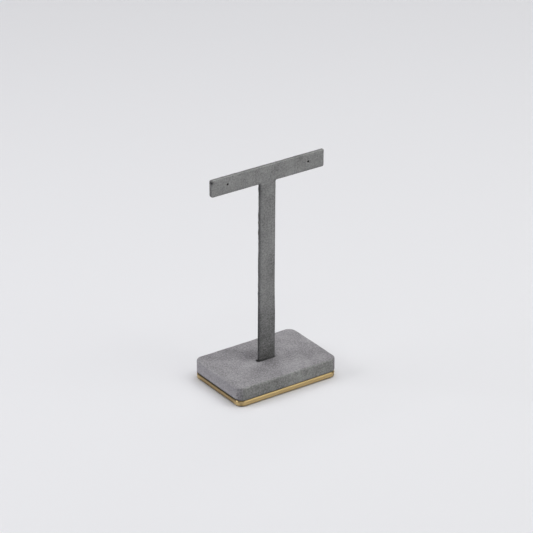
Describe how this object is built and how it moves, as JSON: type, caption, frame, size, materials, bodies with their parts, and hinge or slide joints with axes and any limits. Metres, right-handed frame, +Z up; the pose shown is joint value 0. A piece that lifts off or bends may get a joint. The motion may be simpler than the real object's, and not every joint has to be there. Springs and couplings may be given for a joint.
{
  "type": "earring t-bar display",
  "caption": "T-shaped earring stand: a flat suede-covered bar with pin holes on a slim stem, standing in a suede-covered pad on a bevelled brass plate.",
  "frame": {"origin": "on the table, under the middle of the pad", "axes": "+Z up, +X along the bar, -Y towards the front of the bar"},
  "size_m": [0.0856, 0.052, 0.15],
  "materials": {
    "liner_felt": "thin black felt",
    "plate_brass": "satin, brushed along its edges",
    "screw_steel": "zinc-plated",
    "core_fibreboard": "bare fibreboard",
    "pad_suede": "grey microfibre suede with a soft nap",
    "core_steel": "cold-rolled sheet",
    "upright_suede": "grey microfibre suede with a short nap"
  },
  "bodies": {
    "root": {"underside_liner": "liner_felt", "base_plate": "plate_brass", "plate_screws": "screw_steel", "base_core": "core_fibreboard", "base_cover": "pad_suede", "upright_core": "core_steel", "upright_cover_front": "upright_suede", "upright_cover_back": "upright_suede"}
  },
  "joints": []
}
